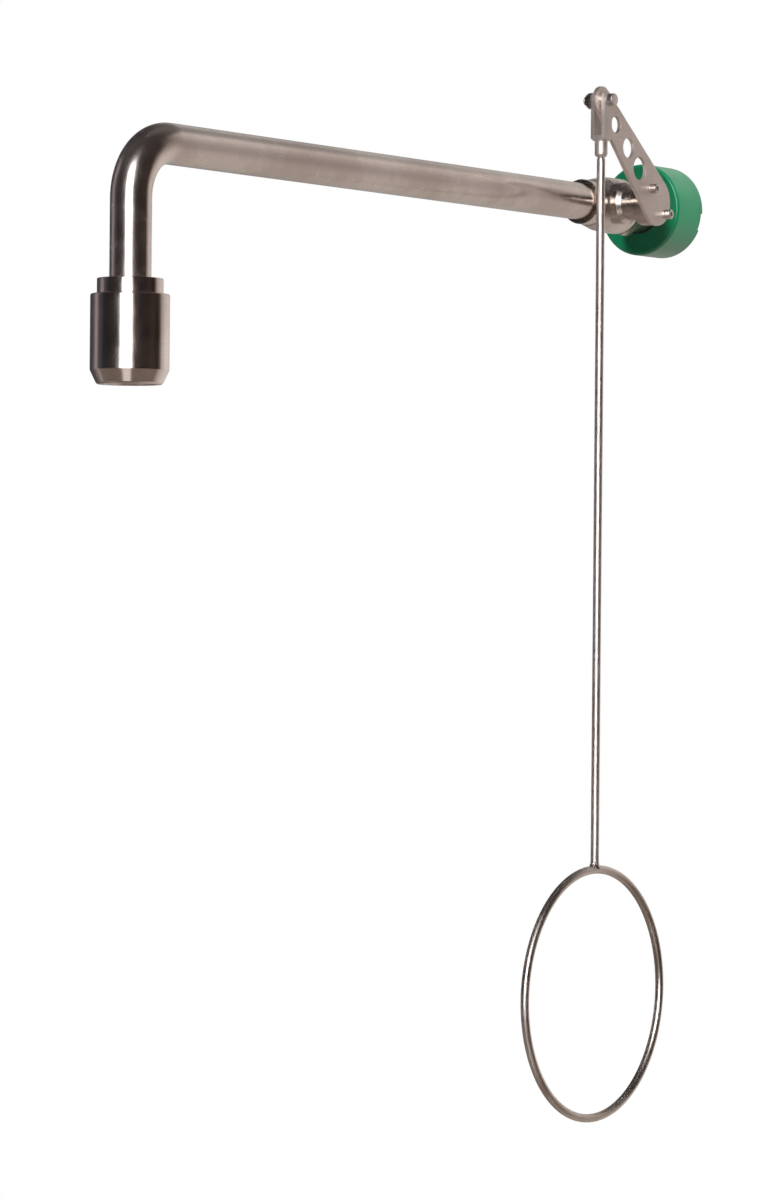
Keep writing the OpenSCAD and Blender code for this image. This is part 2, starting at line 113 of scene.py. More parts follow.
hub_low, hub_high = node_box("drive_hub")
HUB_X = hub_low.x
HUB_R = hub_high.z
plate_low, plate_high = node_box("lever_plate")
LEVER_IN, LEVER_OUT = plate_low.x, plate_high.x
SCREW_TOP = node_box("lever_screws")[1].x
WASHER_TOP = node_box("lever_spring_washers")[1].x

fork_low, fork_high = node_box("clevis_fork")
FORK_HALF = fork_high.x - LEVER_X
pin_low, pin_high = node_box("clevis_pin")
nut_low, nut_high = node_box("clevis_nut")

rod_low, rod_high = node_box("pull_rod")
ROD_R = rod_high.x - LEVER_X
ring_low, ring_high = node_box("pull_ring")
WIRE_R = ring_high.x - LEVER_X
RING_R = (ring_high.z - ring_low.z) / 2 - WIRE_R
RING_Z = (ring_high.z + ring_low.z) / 2

collar_low, collar_high = node_box("head_adapter")
shell_low, shell_high = node_box("head_shell")
insert_low, insert_high = node_box("spray_insert")


# ---- Frames of the four axes; each has its local Z along the axis ----

def axis_frame(origin, x_axis, z_axis):
    """Matrix from a local frame in millimetres to the row frame in metres."""
    z = Vector(z_axis)
    x = Vector(x_axis)
    y = z.cross(x)
    turn = Matrix((x, y, z)).transposed().to_4x4()
    return Matrix.Scale(MM, 4) @ Matrix.Translation(origin) @ turn


WALL_AXIS = axis_frame((0, 0, 0), (1, 0, 0), (0, -1, 0))
STEM_AXIS = axis_frame((0, -STEM_Y, 0), (0, -1, 0), (1, 0, 0))
PIN_AXIS = axis_frame((0, PIN.y, PIN.z), (0, -1, 0), (1, 0, 0))
DROP_AXIS = axis_frame((0, -ARM_REACH, 0), (1, 0, 0), (0, 0, -1))
ROD_AXIS = axis_frame((LEVER_X, PIN.y, 0), (1, 0, 0), (0, 0, 1))


def lever_frame(along):
    """Frame on the lever at a distance from the stem axis; local X runs along the lever, local Z along +X."""
    direction = Vector((0, -math.cos(LEVER_ANGLE), math.sin(LEVER_ANGLE)))
    place = Vector((0, -STEM_Y, 0)) + direction * along
    return axis_frame(place, direction, (1, 0, 0))


# ---- Mesh helpers ----

def finish_mesh(mesh, sharp_degrees=32):
    """Merges doubles, turns the normals outwards and shades smooth with sharp edges by angle."""
    work = bmesh.new()
    work.from_mesh(mesh)
    bmesh.ops.remove_doubles(work, verts=work.verts, dist=1e-7)
    bmesh.ops.recalc_face_normals(work, faces=work.faces)
    work.to_mesh(mesh)
    work.free()
    mesh.shade_smooth()
    mesh.set_sharp_from_angle(angle=math.radians(sharp_degrees))


def skin(name, rings, closed):
    """Object whose faces join each ring of points to the next; a ring of one point is a pole."""
    verts = []
    indexes = []
    count = max(len(ring) for ring in rings)
    for ring in rings:
        start = len(verts)
        verts.extend(ring)
        indexes.append([start + (i if len(ring) > 1 else 0) for i in range(count)])
    pairs = list(zip(indexes, indexes[1:]))
    if closed:
        pairs.append((indexes[-1], indexes[0]))
    faces = []
    for low, high in pairs:
        for i in range(count):
            j = (i + 1) % count
            quad = [low[i], low[j], high[j], high[i]]
            face = [v for k, v in enumerate(quad) if v != quad[k - 1]]
            faces.append(face)
    mesh = bpy.data.meshes.new(name)
    mesh.from_pydata(verts, [], faces)
    finish_mesh(mesh)
    made = bpy.data.objects.new(name, mesh)
    bpy.context.scene.collection.objects.link(made)
    return made


def turned(name, place, profile, closed=False, around=128):
    """Solid of revolution about a frame's Z from (radius, station) points; either may depend on the angle."""
    def at(value, angle):
        return value(angle) if callable(value) else value

    rings = []
    for radius, station in profile:
        if radius == 0:
            rings.append([place @ Vector((0, 0, station))])
            continue
        ring = []
        for i in range(around):
            angle = math.tau * i / around
            r = at(radius, angle)
            ring.append(place @ Vector((r * math.cos(angle), r * math.sin(angle), at(station, angle))))
        rings.append(ring)
    return skin(name, rings, closed)


def rounded(corners, closed=True, steps=4):
    """Profile with each corner (radius, station, fillet) rounded to its fillet.

    A point just outside each end of a fillet keeps the shading of the face beside it flat.
    """
    points = []
    last = len(corners) - 1
    for i, (radius, station, fillet) in enumerate(corners):
        if fillet == 0 or (not closed and i in (0, last)):
            points.append((radius, station))
            continue
        corner = Vector((radius, station))
        to_last = Vector(corners[i - 1][:2]) - corner
        to_next = Vector(corners[(i + 1) % len(corners)][:2]) - corner
        before, after = to_last.normalized(), to_next.normalized()
        half = before.angle(after) / 2
        setback = fillet / math.tan(half)
        rooms = [max(0, 0.5 * side.length - setback) for side in (to_last, to_next)]
        guards = [setback + min(0.3 * fillet, 0.1 * room) for room in rooms]
        start = corner + before * setback
        if guards[0] > setback + 0.01:
            points.append(tuple(corner + before * guards[0]))
        centre = corner + (before + after).normalized() * (fillet / math.sin(half))
        turn = math.pi - 2 * half
        if before.x * after.y - before.y * after.x > 0:
            turn = -turn
        for k in range(steps + 1):
            spoke = Matrix.Rotation(turn * k / steps, 2) @ (start - centre)
            points.append(tuple(centre + spoke))
        if guards[1] > setback + 0.01:
            points.append(tuple(corner + after * guards[1]))
    return points


def tube(name, path, radius, inner=None, closed=False, around=64):
    """Round bar, or a pipe if inner is given, along (point, tangent) pairs that lie in the Y-Z plane."""
    side = Vector((1, 0, 0))

    def section(point, tangent, r):
        up = tangent.cross(side)
        angles = [math.tau * i / around for i in range(around)]
        return [(point + side * (r * math.cos(a)) + up * (r * math.sin(a))) * MM for a in angles]

    rings = [section(p, t, radius) for p, t in path]
    if inner is not None:
        rings += [section(p, t, inner) for p, t in reversed(path)]
    return skin(name, rings, closed or inner is not None)


def block(name, low, high):
    """Box between two corners in millimetres, used to cut other pieces."""
    size = Vector(high) - Vector(low)
    middle = (Vector(high) + Vector(low)) / 2
    mesh = bpy.data.meshes.new(name)
    work = bmesh.new()
    bmesh.ops.create_cube(work, size=1)
    bmesh.ops.transform(work, matrix=Matrix.LocRotScale(middle * MM, None, size * MM), verts=work.verts)
    work.to_mesh(mesh)
    work.free()
    made = bpy.data.objects.new(name, mesh)
    bpy.context.scene.collection.objects.link(made)
    return made


def bake_modifiers(piece):
    """Replaces a piece's mesh by what its modifiers make of it."""
    depsgraph = bpy.context.evaluated_depsgraph_get()
    mesh = bpy.data.meshes.new_from_object(piece.evaluated_get(depsgraph))
    piece.modifiers.clear()
    piece.data = mesh


def combine(piece, other, operation):
    """Boolean of a piece with another, which is used up."""
    step = piece.modifiers.new("combine", "BOOLEAN")
    step.object = other
    step.operation = operation
    step.solver = "EXACT"
    bake_modifiers(piece)
    bpy.data.objects.remove(other)
    finish_mesh(piece.data)


def soften(piece, width, segments=2):
    """Rounds a piece's sharp edges by a width in millimetres."""
    step = piece.modifiers.new("soften", "BEVEL")
    step.width = width * MM
    step.segments = segments
    step.limit_method = "ANGLE"
    step.angle_limit = math.radians(35)
    step.use_clamp_overlap = True
    step.miter_outer = "MITER_ARC"
    bake_modifiers(piece)
    finish_mesh(piece.data, sharp_degrees=12)


def close_ends(piece):
    """Fills the open ends of a skinned bar."""
    work = bmesh.new()
    work.from_mesh(piece.data)
    bmesh.ops.holes_fill(work, edges=work.edges, sides=0)
    work.to_mesh(piece.data)
    work.free()


def hexagon(flats):
    """Radius of a hexagon as a function of the angle."""
    def radius(angle):
        sector = (angle + math.pi / 6) % (math.pi / 3) - math.pi / 6
        return flats / 2 / math.cos(sector)
    return radius


# Rise of a nut's chamfer for each millimetre of radius, close to 30 degrees
CHAMFER_RISE = 0.58


def chamfered_hexagon(flats, end_r):
    """Functions of the angle: a hexagon's radius, that of its end turned down to end_r, and the chamfer's rise."""
    full = hexagon(flats)

    def end(angle):
        return min(full(angle), end_r)

    def rise(angle):
        return (full(angle) - end(angle)) * CHAMFER_RISE
    return full, end, rise


# ---- Node helpers ----

class Nodes:
    """Adds nodes to a tree, with inputs given as values or as sockets to link."""

    def __init__(self, tree):
        self.tree = tree
        tree.nodes.clear()

    def add(self, kind, inputs=None, **settings):
        node = self.tree.nodes.new(kind)
        for key, value in settings.items():
            setattr(node, key, value)
        for key, value in (inputs or {}).items():
            socket = node.inputs[key]
            if isinstance(value, bpy.types.NodeSocket):
                self.tree.links.new(value, socket)
            else:
                socket.default_value = value
        return node

    def math(self, operation, *values):
        return self.add("ShaderNodeMath", dict(enumerate(values)), operation=operation).outputs[0]

    def spread(self, value, low, high, to_low, to_high, smooth=True):
        kind = "SMOOTHSTEP" if smooth else "LINEAR"
        inputs = {"Value": value, "From Min": low, "From Max": high, "To Min": to_low, "To Max": to_high}
        return self.add("ShaderNodeMapRange", inputs, interpolation_type=kind).outputs[0]

    def mix(self, factor, one, two, blend="MIX"):
        node = self.add("ShaderNodeMix", data_type="RGBA", blend_type=blend)
        for index, value in ((0, factor), (6, one), (7, two)):
            if isinstance(value, bpy.types.NodeSocket):
                self.tree.links.new(value, node.inputs[index])
            else:
                node.inputs[index].default_value = value if index == 0 else (*value, 1)
        return node.outputs[2]

    def ramp(self, value, stops, smooth=False):
        node = self.add("ShaderNodeValToRGB", {0: value})
        node.color_ramp.interpolation = "EASE" if smooth else "LINEAR"
        elements = node.color_ramp.elements
        while len(elements) < len(stops):
            elements.new(0.5)
        for element, (place, colour) in zip(elements, sorted(stops)):
            element.position = place
            element.color = (*colour, 1)
        return node.outputs[0]


def noise(nodes, scale, stretch=(1, 1, 1), detail=4, roughness=0.55, offset=(0, 0, 0)):
    """Noise in the piece's own coordinates; scale is in cells per metre and stretch multiplies each axis."""
    place = nodes.add("ShaderNodeTexCoord").outputs["Object"]
    mapping = nodes.add("ShaderNodeMapping", {"Vector": place, "Location": offset, "Scale": stretch})
    inputs = {"Vector": mapping.outputs[0], "Scale": scale, "Detail": detail, "Roughness": roughness}
    return nodes.add("ShaderNodeTexNoise", inputs).outputs[0]


def surface(name, build):
    """Material whose Principled BSDF sockets are set by build(nodes), which returns them by name."""
    made = bpy.data.materials.new(name)
    made.use_nodes = True
    nodes = Nodes(made.node_tree)
    shader = nodes.add("ShaderNodeBsdfPrincipled", build(nodes))
    nodes.add("ShaderNodeOutputMaterial", {"Surface": shader.outputs[0]})
    return made


# ---- Materials ----

def steel(name, light, dark, rough, grain, stretch, depth, blotch=14, anisotropy=0.0, tangent=None):
    """Stainless steel. grain is in lines per metre, stretched to run one way; depth is the bump in micrometres."""
    def build(nodes):
        lines = noise(nodes, grain, stretch, detail=5, roughness=0.7)
        broad = noise(nodes, blotch, detail=3, roughness=0.5, offset=(3.1, 1.7, 0.4))
        stain = noise(nodes, blotch * 4, detail=4, roughness=0.6, offset=(0.3, 5.1, 2.2))
        tone = nodes.math("ADD", nodes.math("MULTIPLY", broad, 0.7), nodes.math("MULTIPLY", stain, 0.3))
        tone = nodes.spread(tone, 0.38, 0.62, 0.0, 1.0)
        colour = nodes.mix(tone, dark, light)
        fine = nodes.spread(lines, 0.3, 0.7, 0.9, 1.06, smooth=False)
        grey = nodes.add("ShaderNodeCombineColor", {0: fine, 1: fine, 2: fine}).outputs[0]
        colour = nodes.mix(1.0, colour, grey, blend="MULTIPLY")
        patch = nodes.spread(stain, 0.35, 0.65, rough[0], rough[1])
        jitter = nodes.spread(lines, 0.25, 0.75, -0.015, 0.015, smooth=False)
        bump = nodes.add("ShaderNodeBump", {"Strength": 1.0, "Distance": depth * 1e-6, "Height": lines})
        sockets = {
            "Base Color": colour, "Metallic": 1.0, "Roughness": nodes.math("ADD", patch, jitter),
            "Normal": bump.outputs[0],
        }
        if tangent:
            direction = nodes.add("ShaderNodeTangent", direction_type="RADIAL", axis=tangent)
            sockets["Tangent"] = direction.outputs[0]
            sockets["Anisotropic"] = anisotropy
        return sockets
    return surface(name, build)


def plastic(name, colour, rough, depth, grain=900, coat=0.0, shade=0.82):
    """Moulded polymer or rubber with a fine skin texture and slight shade and gloss variation."""
    def build(nodes):
        skin_noise = noise(nodes, grain, detail=3, roughness=0.6)
        broad = noise(nodes, 22, detail=3, roughness=0.5, offset=(1.3, 0.2, 4.0))
        dark = tuple(shade * c for c in colour)
        bump = nodes.add("ShaderNodeBump", {"Strength": 1.0, "Distance": depth * 1e-6, "Height": skin_noise})
        return {
            "Base Color": nodes.mix(nodes.spread(broad, 0.35, 0.65, 0.0, 1.0), dark, colour),
            "Roughness": nodes.spread(skin_noise, 0.3, 0.7, rough[0], rough[1], smooth=False),
            "Normal": bump.outputs[0], "Coat Weight": coat, "Coat Roughness": 0.25,
        }
    return surface(name, build)


LINES = 1
SMEAR = 0.03
ACROSS_X = (LINES, SMEAR, SMEAR)
ACROSS_Y = (SMEAR, LINES, SMEAR)
ACROSS_Z = (SMEAR, SMEAR, LINES)
ALONG_Z = (LINES, LINES, SMEAR / 10)

STEEL_LIGHT = (0.74, 0.68, 0.64)
STEEL_DARK = (0.60, 0.54, 0.50)

pipe_steel = steel("pipe_steel", STEEL_LIGHT, (0.60, 0.53, 0.49), (0.22, 0.27), 1500, (1, 0.3, 1), 0.2, blotch=16)
body_steel = steel("body_steel", STEEL_LIGHT, STEEL_DARK, (0.24, 0.29), 2500, ACROSS_Y, 0.12)
stem_steel = steel("stem_steel", STEEL_LIGHT, STEEL_DARK, (0.24, 0.30), 2500, ACROSS_X, 0.12)
head_steel = steel("head_steel", STEEL_LIGHT, STEEL_DARK, (0.13, 0.19), 3000, ACROSS_Z, 0.3,
                   anisotropy=0.3, tangent="Z")
rod_steel = steel("rod_steel", (0.84, 0.78, 0.74), (0.72, 0.66, 0.62), (0.40, 0.46), 2500, ALONG_Z, 0.1, blotch=20)
ring_steel = steel("ring_steel", STEEL_LIGHT, (0.54, 0.48, 0.43), (0.30, 0.40), 2000, (1, 0.5, 0.5), 0.8)
fork_steel = steel("fork_steel", (0.90, 0.84, 0.80), (0.80, 0.74, 0.70), (0.48, 0.56), 2500, ALONG_Z, 0.4)
plate_steel = steel("plate_steel", (0.94, 0.86, 0.81), (0.86, 0.78, 0.73), (0.50, 0.58), 2500, (1, 0.06, 1), 0.8)
bolt_steel = steel("bolt_steel", (0.80, 0.76, 0.73), (0.62, 0.57, 0.54), (0.26, 0.34), 2500, ACROSS_X, 0.4)
weld_steel = steel("weld_steel", (0.68, 0.61, 0.56), (0.48, 0.42, 0.38), (0.28, 0.42), 1500, (1, 1, 1), 3)
ball_steel = steel("ball_steel", (0.80, 0.78, 0.76), (0.72, 0.69, 0.66), (0.06, 0.10), 3000, (1, 1, 1), 0.3)
mesh_steel = steel("mesh_steel", (0.72, 0.69, 0.66), (0.58, 0.55, 0.52), (0.25, 0.35), 3000, (1, 1, 1), 1.0)
cover_green = plastic("cover_green", (0.003, 0.14, 0.060), (0.34, 0.42), 5, grain=1500, coat=0.5)
seal_black = plastic("seal_black", (0.018, 0.018, 0.019), (0.55, 0.70), 8, grain=1800)
insert_black = plastic("insert_black", (0.022, 0.022, 0.023), (0.32, 0.44), 8, grain=1500)
seat_white = plastic("seat_white", (0.80, 0.80, 0.77), (0.40, 0.52), 8, grain=1500, shade=0.94)


def dress(piece, body, node, slot, *materials):
    """Gives a new piece its body and its materials, and hides the CAD node that it stands for; slot is not used.
    """
    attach(piece, body)
    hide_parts(node)
    for made in materials:
        piece.data.materials.append(made)


# ---- Wall cover ----

def wall_cover():
    wall, edge, hole_r = 2.6, 2.4, 17.6
    notch_half, notch_z, notch_depth = 6, -8, 2
    front = COVER_LEN
    profile = rounded([
        (COVER_R, 0, 0.35), (COVER_R, front, edge), (hole_r, front, 0.5), (hole_r, front - wall, 0.3),
        (COVER_R - wall, front - wall, 1.2), (COVER_R - wall, 0, 0.35),
    ], steps=6)
    cover = turned("cover_cup", WALL_AXIS, profile, closed=True, around=192)
    notch = block("notch", (COVER_R - 2 * wall, -notch_depth, notch_z - notch_half),
                  (COVER_R + 1, 1, notch_z + notch_half))
    combine(cover, notch, "DIFFERENCE")
    dress(cover, "cover", "wall_cover", "cover_green", cover_green)
    grip_low, grip_high = node_box("cover_grip_ring")
    inner = 16.55
    lip = turned("grip_ring", WALL_AXIS, rounded([
        (inner, -grip_high.y, 0.25), (inner, -grip_low.y, 0.35), (hole_r - 0.03, -grip_low.y, 0.2),
        (hole_r - 0.03, -grip_high.y, 0.2),
    ]), closed=True)
    dress(lip, "cover", "cover_grip_ring", "rubber_black", seal_black)


# ---- Valve ----

# Radii of the ball's chamber, the seats and the waterway, and how far the first two reach from the stem's axis
CHAMBER_R, CHAMBER_REACH = 14.5, 6.6
SEAT_R, SEAT_REACH = 12.55, 13.5
FLOW_R = 9
STEM_BORE_R = 5.05


def inlet_connector():
    neck_r, thread_r, thread_end = 16.5, 12.06, 18
    hex_back, hex_front = 50, BODY_BACK
    spigot_r, spigot_end = 17.15, 71
    seat_back = STEM_Y - SEAT_REACH
    nut, chamfered, slope = chamfered_hexagon(36, 19.6)
    profile = [
        (thread_r + 0.9, 0), (neck_r - 0.6, 0), (neck_r, 0.6), (neck_r, hex_back),
        (chamfered, hex_back), (nut, lambda a: hex_back + slope(a)),
        (nut, lambda a: hex_front - 0.1 - slope(a)), (chamfered, hex_front - 0.1),
        (spigot_r, hex_front - 0.1), (spigot_r, spigot_end), (CHAMBER_R - 0.05, spigot_end),
        (CHAMBER_R - 0.05, INLET_END), (SEAT_R, INLET_END), (SEAT_R, seat_back), (FLOW_R, seat_back),
        (FLOW_R, thread_end + 2), (thread_r - 0.5, thread_end),
    ]
    pitch, depth, steps = 1.8, 0.8, 8
    count = int((thread_end - 2) / pitch * steps)
    for k in range(count):
        station = thread_end - 1 - k * pitch / steps

        def crest(angle, station=station):
            phase = (station / pitch - angle / math.tau) % 1
            return thread_r + depth * abs(2 * phase - 1)
        profile.append((crest, station))
    connector = turned("inlet_neck", WALL_AXIS, profile, closed=True, around=144)
    dress(connector, "valve_frame", "inlet_connector", "steel_satin", body_steel)


def valve_body():
    neck_r, boss_r, boss_edge = 16.35, BONNET_R + 2.15, 21.9
    barrel_end, cone_back, cone_front, cone_r = 81, 90, 103.2, 16.95
    outside = rounded([
        (0, BODY_BACK, 0), (BARREL_R - 1.2, BODY_BACK, 1.2), (BARREL_R, BODY_BACK + 6, 8),
        (BARREL_R, barrel_end, 12), (BARREL_R - 0.8, cone_back, 1.5), (cone_r, cone_front, 0.5),
        (neck_r, 104, 0.3), (neck_r, COLLAR_END, 0.3), (0, COLLAR_END, 0),
    ], closed=False)
    body = turned("valve_barrel", WALL_AXIS, outside, around=160)
    boss = turned("boss", STEM_AXIS, rounded([
        (0, 4, 0), (boss_r, 4, 0), (boss_r, boss_edge, 1.5), (BONNET_R, BOSS_X, 0.4), (0, BOSS_X, 0),
    ], closed=False), around=128)
    combine(body, boss, "UNION")
    spigot_r, thread_end = 17.2, 72
    socket_r, mouth_r, mouth = PIPE_R + 0.05, 15.2, COLLAR_END - 3
    chamber_end, seat_end = STEM_Y + CHAMBER_REACH, STEM_Y + SEAT_REACH
    bore = turned("bore", WALL_AXIS, [
        (0, BODY_BACK - 1), (spigot_r, BODY_BACK - 1), (spigot_r, thread_end), (CHAMBER_R, thread_end),
        (CHAMBER_R, chamber_end), (SEAT_R, chamber_end), (SEAT_R, seat_end), (FLOW_R, seat_end),
        (FLOW_R, PIPE_START), (socket_r, PIPE_START), (socket_r, mouth), (mouth_r, mouth),
        (mouth_r, COLLAR_END + 1), (0, COLLAR_END + 1),
    ], around=128)
    combine(body, bore, "DIFFERENCE")
    flange_r, flange_end, seat_x, thread_r = 8, 19.5, 21.6, 9.5
    stem_hole = turned("stem_hole", STEM_AXIS, [
        (0, 11), (flange_r, 11), (flange_r, flange_end), (STEM_BORE_R, flange_end), (STEM_BORE_R, seat_x),
        (thread_r, seat_x), (thread_r, BOSS_X + 1), (0, BOSS_X + 1),
    ], around=96)
    combine(body, stem_hole, "DIFFERENCE")
    dress(body, "valve_frame", "valve_body", "steel_satin", body_steel)


def stem_bonnet():
    bush_r, bush_x, thread_r, foot = 6.5, 27, 9.45, 21.65
    recess_r, recess_x = 8.2, 27.4
    recess_from, recess_to = math.radians(7.4), math.radians(120.6)
    bonnet = turned("bonnet", STEM_AXIS, rounded([
        (STEM_BORE_R, foot, 0), (thread_r, foot, 0.3), (thread_r, BOSS_X, 0), (BONNET_R, BOSS_X, 0.3),
        (BONNET_R, BONNET_TOP, 0.5), (bush_r, BONNET_TOP, 0.2), (bush_r, bush_x, 0), (STEM_BORE_R, bush_x, 0),
    ]), closed=True)
    steps = 24
    outer = BONNET_R + 2
    angles = [recess_from + (recess_to - recess_from) * k / steps for k in range(steps + 1)]
    outline = [(recess_r * math.cos(a), recess_r * math.sin(a)) for a in angles]
    outline += [(outer * math.cos(a), outer * math.sin(a)) for a in reversed(angles)]
    # Angles are counted up from the head's side, which is against the stem frame's own turn
    rings = [[STEM_AXIS @ Vector((x, -y, s)) for x, y in outline] for s in (recess_x, BONNET_TOP + 1)]
    cutter = skin("recess", rings, closed=False)
    close_ends(cutter)
    finish_mesh(cutter.data)
    combine(bonnet, cutter, "DIFFERENCE")
    dress(bonnet, "valve_frame", "stem_bonnet", "steel_satin", stem_steel)


def drive_hub():
    square_half, screw_hole_r, peg_hole_r = 3.55, 2.05, 2.02

    def square(angle):
        sector = (angle + math.pi / 4) % (math.pi / 2) - math.pi / 4
        return square_half / math.cos(sector)

    hub = turned("hub", STEM_AXIS, [
        (square, HUB_X + 0.3), *rounded([
            (6, HUB_X, 0), (HUB_R, HUB_X, 0.5), (HUB_R, LEVER_IN, 0.3), (6, LEVER_IN, 0),
        ], closed=False), (square, LEVER_IN - 0.3),
    ], closed=True, around=128)
    half_gap = 13
    for side in (-1, 1):
        hole = turned("hole", lever_frame(side * half_gap), [
            (0, HUB_X - 1), (screw_hole_r, HUB_X - 1), (screw_hole_r, LEVER_IN + 1), (0, LEVER_IN + 1),
        ], around=32)
        combine(hub, hole, "DIFFERENCE")
    stop_low, stop_high = node_box("stop_pin")
    stop_middle = (0, (stop_low.y + stop_high.y) / 2, (stop_low.z + stop_high.z) / 2)
    stop_frame = axis_frame(stop_middle, (0, -1, 0), (1, 0, 0))
    stop_hole = turned("hole", stop_frame, [
        (0, HUB_X - 1), (peg_hole_r, HUB_X - 1), (peg_hole_r, HUB_X + 7.2), (0, HUB_X + 7.2),
    ], around=32)
    combine(hub, stop_hole, "DIFFERENCE")
    screw_low = node_box("hub_set_screw")[0]
    screw_frame = axis_frame((screw_low.x + 2, 0, 0), (1, 0, 0), (0, 1, 0))
    screw_hole = turned("hole", screw_frame, [
        (0, screw_low.y - 1), (screw_hole_r, screw_low.y - 1), (screw_hole_r, HUB_R), (0, HUB_R),
    ], around=32)
    combine(hub, screw_hole, "DIFFERENCE")
    dress(hub, "lever", "drive_hub", "steel_satin", stem_steel)
    stop_r = 2
    stop = turned("stop_peg", stop_frame, rounded([
        (0, stop_low.x, 0), (stop_r, stop_low.x, 0.4), (stop_r, stop_high.x, 0.2), (0, stop_high.x, 0),
    ], closed=False), around=48)
    dress(stop, "lever", "stop_pin", "steel_fastener", bolt_steel)


# ---- Lever ----

def lever_plate():
    low_r, top_r = 17.5, 10
    holes = [(32.7, 8.4), (53.4, 7.3), (76.4, 6), (LEVER_LEN, 3.05), (-13, 2.15), (13, 2.15)]
    edge = 0.35
    slope = math.asin((low_r - top_r) / LEVER_LEN)
    curve = bpy.data.curves.new("plate", "CURVE")
    curve.dimensions = "2D"
    curve.fill_mode = "BOTH"
    curve.extrude = (LEVER_OUT - LEVER_IN) / 2 - edge
    curve.bevel_depth = edge
    curve.bevel_resolution = 2
    curve.offset = -edge

    def outline(points):
        spline = curve.splines.new("POLY")
        spline.points.add(len(points) - 1)
        for point, (x, y) in zip(spline.points, points):
            point.co = (x, y, 0, 1)
        spline.use_cyclic_u = True

    def arc(centre, radius, start, end, steps):
        angles = [start + (end - start) * k / steps for k in range(steps + 1)]
        return [(centre + radius * math.cos(a), radius * math.sin(a)) for a in angles]

    flank = math.pi / 2 - slope
    outline(arc(0, low_r, flank, math.tau - flank, 48) + arc(LEVER_LEN, top_r, -flank, flank, 32))
    for centre, radius in holes:
        outline(arc(centre, radius, 0, math.tau, 48)[:-1])
    plate = bpy.data.objects.new("lever_arm", curve)
    bpy.context.scene.collection.objects.link(plate)
    mesh = bpy.data.meshes.new_from_object(plate)
    bpy.data.objects.remove(plate)
    mesh.transform(lever_frame(0) @ Matrix.Translation((0, 0, (LEVER_IN + LEVER_OUT) / 2)))
    finish_mesh(mesh, sharp_degrees=9)
    plate = bpy.data.objects.new("lever_arm", mesh)
    bpy.context.scene.collection.objects.link(plate)
    dress(plate, "lever", "lever_plate", "steel_plate", plate_steel)


def lever_screws():
    shank_r, head_r, half_gap = 2, 3.5, 13
    shank_low = HUB_X + 1.5
    socket = hexagon(3)
    socket_low = SCREW_TOP - 2.2
    washer_in, washer_out = shank_r + 0.15, head_r - 0.1
    for side, word in ((-1, "low"), (1, "high")):
        place = lever_frame(side * half_gap)
        profile = rounded([
            (0, shank_low, 0), (shank_r, shank_low, 0.3), (shank_r, WASHER_TOP, 0), (head_r, WASHER_TOP, 0.2),
            (head_r, SCREW_TOP, 0.6), (2.2, SCREW_TOP, 0),
        ], closed=False, steps=5)
        profile += [(lambda a: socket(a) + 0.2, SCREW_TOP), (socket, SCREW_TOP - 0.25), (socket, socket_low),
                    (0, socket_low - 0.4)]
        screw = turned("lever_screw_" + word, place, profile, around=96)
        dress(screw, "lever", "lever_screws", "steel_fastener", bolt_steel)
        # A split lock washer: a flat bar on one slightly rising turn
        rise, gap, steps = 0.35, math.radians(12), 60
        height = WASHER_TOP - LEVER_OUT - rise
        rings = []
        for k in range(steps + 1):
            angle = gap / 2 + (math.tau - gap) * k / steps
            lift = rise * k / steps
            low, high = LEVER_OUT + lift, LEVER_OUT + lift + height
            corners = [(washer_in, low), (washer_out, low), (washer_out, high), (washer_in, high)]
            rings.append([place @ Vector((r * math.cos(angle), r * math.sin(angle), s)) for r, s in corners])
        washer = skin("spring_washer_" + word, rings, closed=False)
        close_ends(washer)
        soften(washer, 0.12)
        dress(washer, "lever", "lever_spring_washers", "steel_fastener", bolt_steel)


# ---- Clevis, rod and ring ----

def threaded(radius, depth, pitch, start, end, steps=8):
    """Profile rings of a right-hand thread between two stations."""
    rings = []
    count = int(round((end - start) / pitch * steps))
    for k in range(count + 1):
        station = start + (end - start) * k / count

        def crest(angle, station=station):
            phase = (station / pitch - angle / math.tau) % 1
            fade = min(1, (station - start) / pitch, (end - station) / pitch)
            return radius - depth * fade * (1 - abs(2 * phase - 1))
        rings.append((crest, station))
    return rings


